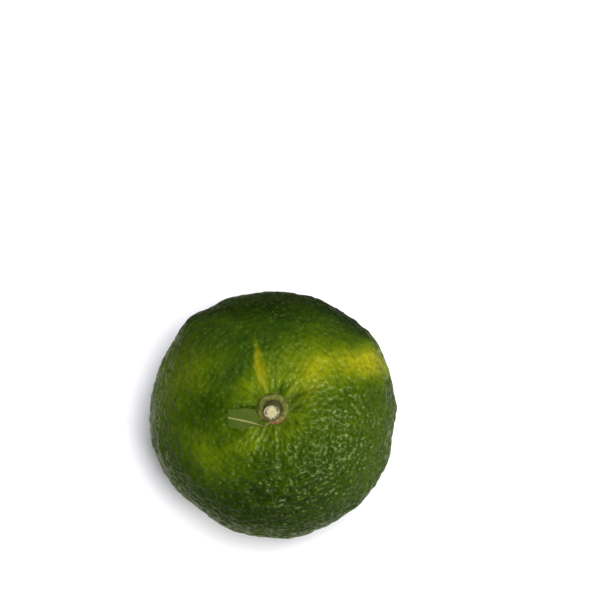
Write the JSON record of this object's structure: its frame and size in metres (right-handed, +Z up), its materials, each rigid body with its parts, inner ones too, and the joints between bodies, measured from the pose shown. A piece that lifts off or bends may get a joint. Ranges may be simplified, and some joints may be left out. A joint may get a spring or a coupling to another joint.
{
  "type": "yuzu",
  "caption": "Green yuzu fruit with pitted rind, its calyx, a cut stem stub and a winged leaf stalk, standing on its blossom end.",
  "frame": {"origin": "middle of the footprint, on the surface that the fruit stands on", "axes": "+Z up from the blossom end to the stem end, -X towards the leaf stalk's outer end, which is the left when +Y points away"},
  "size_m": [0.0658, 0.0662, 0.056],
  "materials": {
    "rind": "waxy, half glossy and pitted, dark green with yellow patches",
    "calyx": "dull olive green, browner at its edges",
    "stem_wood": "cut end of pale dry wood with a dark green bark",
    "leaf": "dull grey green with a paler rib"
  },
  "bodies": {
    "root": {"fruit": "rind", "calyx": "calyx", "stem_stub": "stem_wood", "leaf_stalk": "leaf"}
  },
  "joints": []
}
